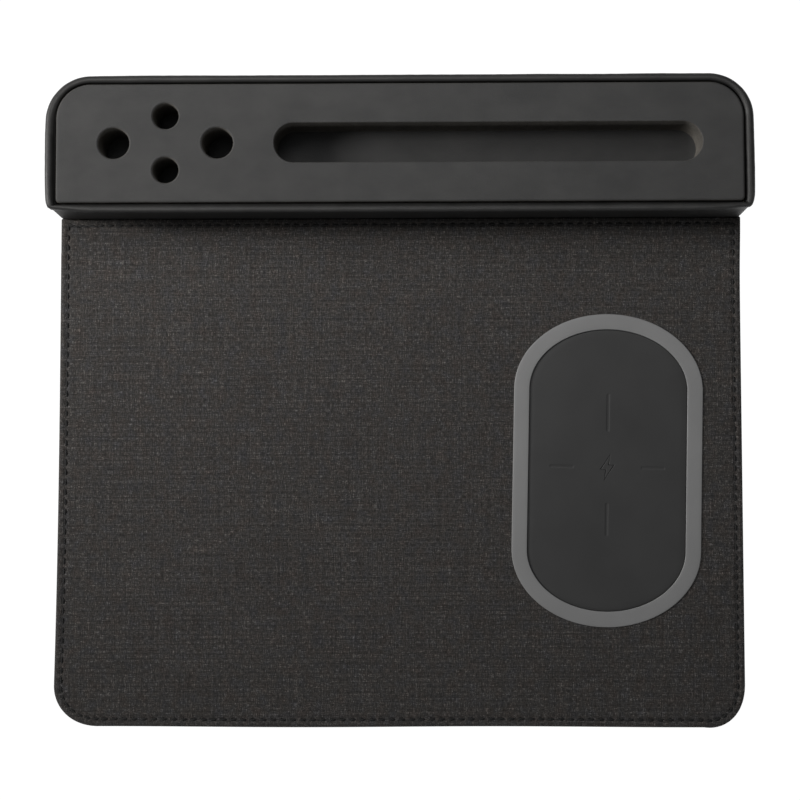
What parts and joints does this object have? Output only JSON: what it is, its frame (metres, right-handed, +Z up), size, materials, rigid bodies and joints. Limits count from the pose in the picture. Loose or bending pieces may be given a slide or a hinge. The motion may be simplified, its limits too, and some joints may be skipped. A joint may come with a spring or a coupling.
{
  "type": "desk mat with wireless charging zone and organiser bar",
  "caption": "Flat sewn desk mat with an oval wireless charging zone and a padded bar along its rear edge that holds pens and a phone.",
  "frame": {"origin": "centre of the footprint on the surface it stands on, at the underside", "axes": "+Z up out of the mat, +X along its width towards the charging zone, +Y along its depth towards the organiser bar"},
  "size_m": [0.2726, 0.2534, 0.03],
  "materials": {
    "rubber": "matte rubberised sheet",
    "core": "dense matte foam rubber",
    "board": "raw fibreboard",
    "cloth": "fine linen-look polyester weave",
    "thread": "twisted polyester thread",
    "band": "smooth soft-touch grey",
    "lid": "smooth dark soft-touch",
    "tray": "moulded dark plastic",
    "ferrite": "dark pressed ferrite",
    "copper": "lacquered copper wire",
    "pcb": "green board lacquer",
    "chip": "moulded chip body",
    "cap": "tan ceramic capacitors",
    "wire": "flat lead jacket",
    "foam": "foam cord",
    "wrap": "smooth coated leatherette",
    "insert": "dense matte foam block",
    "steel": "plated shell"
  },
  "bodies": {
    "root": {"base_sheet": "rubber", "mat_core": "core", "mat_fabric": "cloth", "edge_stitching": "thread", "charge_ring": "band", "charge_panel": "lid", "coil_tray": "tray", "ferrite_sheet": "ferrite", "transmit_coil": "copper", "control_board": "pcb", "controller_chip": "chip", "power_inductor": "chip", "resonant_caps": "cap", "power_lead": "wire", "bar_floor": "board", "bar_frame": "board", "rim_foam": "foam", "wrap_surround": "wrap", "wrap_front": "wrap", "insert_base": "insert", "insert_block": "insert", "socket_board": "pcb", "usb_socket": "steel", "usb_tongue": "chip", "socket_bezel": "chip"}
  },
  "joints": []
}
